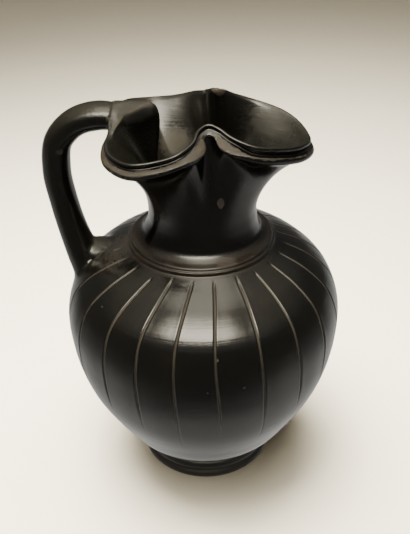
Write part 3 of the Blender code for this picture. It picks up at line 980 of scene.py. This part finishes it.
def spreadMarks(piece):  # wear, strap and inside, told by the rounds that the skin was made of
    points = pointsOf(piece.data)
    nearest, away = nearestOf(vesselGrid[:, :, :3].reshape(-1, 3), points)
    onVessel = 1 - smoothStep(away, 0.6, 1.6)
    rows = np.repeat(np.arange(len(vesselGrid)), columnCount)[nearest]
    crest = np.argmax(vesselGrid[:, 0, 2])
    toEdge = nearestOf(tongueEdge, points)[1]
    wear = vesselGrid[:, :, 3].reshape(-1)[nearest] * onVessel
    wear = np.maximum(wear, 1 - smoothStep(toEdge, 0.5, 1.5))
    inside = smoothStep(rows, crest, crest + 4) * onVessel
    onTongue = smoothStep(points[:, 0], *tongue["insideFrom"]) * (1 - onVessel)
    inside = np.maximum(inside, onTongue)
    for name, value in (("wear", wear), ("strap", 1 - onVessel), ("inside", inside)):
        attribute = piece.data.attributes.new(name, "FLOAT", "POINT")
        attribute.data.foreach_set("value", value.astype(np.float32))


glazedClay = glazeMaterial()
groovePathPiece = groovePaths()
runTree(vesselSkin, grooveTree(), {
    "Groove Paths": groovePathPiece, "Handle": strapPiece, "Width": grooves["width"] * mm,
    "Depth": grooves["depth"] * mm, "Clear Of Handle": grooves["handleMargin"] * mm,
    "Material": glazedClay})
spreadMarks(vesselSkin)
jug = vesselSkin
jug.name = "glazedJug"
jug.data.transform(Matrix.Translation((axisX * mm, 0, 0)))
jug.data.shade_smooth()
for helper in (core, rootPad, strapPiece, tongueSolid, groovePathPiece):
    bpy.data.objects.remove(helper)
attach(jug, bodyName)
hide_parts(nodeName)
print("glazed jug:", len(jug.data.polygons), "faces")


# The studio: a round pale floor that turns up at its rim, soft lamps, and what the gloss reflects

studio = {
    # The floor lies a little under the foot
    "floorRadius": 1900, "turnUp": 700, "rimHeight": 1700, "sunk": 0.2, "sectors": 96, "arcSteps": 12,
    "paper": (0.8, 0.745, 0.625),
    # What the gloss shows: a window, by height from and to, and across; and the ceiling
    "windowDirection": -90,
    "window": {"from": (0.61, 0.72), "to": (0.995, 0.77), "across": (0.63, 1.05), "light": 20.5},
    "ceiling": {"from": (0.9, 1), "light": 3.6},
    "least": 0.11,
    "floorTint": (1, 0.985, 0.92),
    "windowTint": (1, 0.92, 0.74),
    # Each lamp: place and size in metres, power, spread in degrees
    "lamps": {"key lamp": ((-0.075, 0.055, 0.56), 0.4, 7.5, 96),
              "sky lamp": ((-0.045, -0.13, 0.97), 0.8, 5.4, 100),
              "fill lamp": ((-0.25, -0.85, 0.75), 0.8, 1.2, 120)},
    "lampColour": (1, 0.935, 0.8),
}


def studioFloor():
    radius, turnUp = studio["floorRadius"], studio["turnUp"]
    line = [(radius * share, 0) for share in (0.1, 0.25, 0.45, 0.63)]
    for step in range(studio["arcSteps"] + 1):
        turn = step / studio["arcSteps"] * math.pi / 2
        line.append((radius - turnUp * (1 - math.sin(turn)), turnUp * (1 - math.cos(turn))))
    line.append((radius, studio["rimHeight"]))
    sunk, sectors = studio["sunk"], studio["sectors"]
    turns = [2 * math.pi * i / sectors for i in range(sectors)]
    points = [(0, 0, -sunk)]
    for reach, height in line:
        points += [(reach * math.cos(turn), reach * math.sin(turn), height - sunk) for turn in turns]
    faces = []
    for i in range(sectors):
        following = (i + 1) % sectors
        faces.append((0, 1 + i, 1 + following))
        for low in range(1, len(points) - sectors, sectors):
            high = low + sectors
            faces.append((low + i, high + i, high + following, low + following))
    floor = meshFrom("studioFloor", points, faces)
    floor.data.shade_smooth()
    material, shader = newMaterial("pale paper")
    shader.inputs["Base Color"].default_value = (*studio["paper"], 1)
    shader.inputs["Roughness"].default_value = 0.9
    shader.inputs["Specular IOR Level"].default_value = 0.1
    floor.data.materials.append(material)
    floor.visible_glossy = False


def softLamps():
    for name, (place, size, power, spread) in studio["lamps"].items():
        lamp = bpy.data.lights.new(name, "AREA")
        lamp.shape, lamp.size = "SQUARE", size
        lamp.energy, lamp.color, lamp.spread = power, studio["lampColour"], math.radians(spread)
        light = placed(name, lamp)
        light.location = place
        light.rotation_euler = (-Vector(place)).to_track_quat("-Z", "Y").to_euler()
        light.visible_glossy = False


def studioAir():  # dark in front, paler floor at the sides, a window above
    world = bpy.data.worlds.new("studio air")
    bpy.context.scene.world = world
    world.use_nodes = True
    world.cycles_visibility.diffuse = False
    tree = world.node_tree
    background = tree.nodes["Background"]
    start = Signal(tree, background.outputs[0])
    way = start.make("ShaderNodeTexCoord", output="Generated")
    parts = start.make("ShaderNodeSeparateXYZ", {"Vector": way}, "Z")
    x, y, z = parts.other("X"), parts.other("Y"), parts
    turn = math.radians(studio["windowDirection"])
    flat = (x * x + y * y + 0.0001) ** 0.5
    facing = (x * math.cos(turn) + y * math.sin(turn)) / flat
    down = z * -1
    front = facing.step(0.1, 0.9) * down.step(0.97, 0.72)
    behind = facing.step(-0.4, -0.7)
    floor = down.step(0, 0.9) * (0.6 - front * 0.56) - down.step(0.9, 1) * 0.14
    floor = floor + behind * down.step(0.02, 0.22) * down.step(0.75, 0.45) * 0.3
    upper = z.step(0.3, 0.95) * 0.7 + facing.step(0, 1) * z.step(0.3, 0.62) * 0.35
    opening, ceiling = studio["window"], studio["ceiling"]
    window = z.step(*opening["from"]) * z.step(*opening["to"]) * facing.step(*opening["across"])
    window = window * opening["light"]
    strength = floor + upper + window + z.step(*ceiling["from"]) * ceiling["light"] + studio["least"]
    tree.links.new(strength.socket, background.inputs["Strength"])
    warmth = z.step(0.4, 0.7)
    colour = warmth.mix(studio["floorTint"], studio["windowTint"])
    tree.links.new(colour.socket, background.inputs["Color"])


photo = {
    "height": 534, "focal": 769.9, "sensor": 36,
    "pitch": 33.52, "yaw": 0.23, "roll": -1.36, "spoutTurn": 5.8,
    "back": 255.2, "up": 259.6, "nearest": 0.01,
}


def photoCamera():
    pitch, yaw, roll, turn = (math.radians(photo[key]) for key in ("pitch", "yaw", "roll", "spoutTurn"))
    swing = Matrix.Rotation(turn, 3, "Z")
    level = math.cos(pitch)
    ahead = swing @ Vector((math.sin(yaw) * level, math.cos(yaw) * level, -math.sin(pitch)))
    across = ahead.cross(Vector((0, 0, 1))).normalized()
    over = across.cross(ahead)
    right = across * math.cos(roll) + over * math.sin(roll)
    top = over * math.cos(roll) - across * math.sin(roll)
    place = swing @ Vector((0, -photo["back"], photo["up"])) + Vector((axisX, 0, 0))
    turned = Matrix((right, top, -ahead)).transposed().to_4x4()
    lens = bpy.data.cameras.new("photo camera")
    lens.lens = photo["focal"] / photo["height"] * photo["sensor"]
    lens.sensor_width, lens.clip_start = photo["sensor"], photo["nearest"]
    camera = placed("photo camera", lens)
    camera.matrix_world = Matrix.Translation(place * mm) @ turned
    bpy.context.scene.camera = camera


photoCamera()
studioFloor()
studioAir()
softLamps()
print("studio ready")
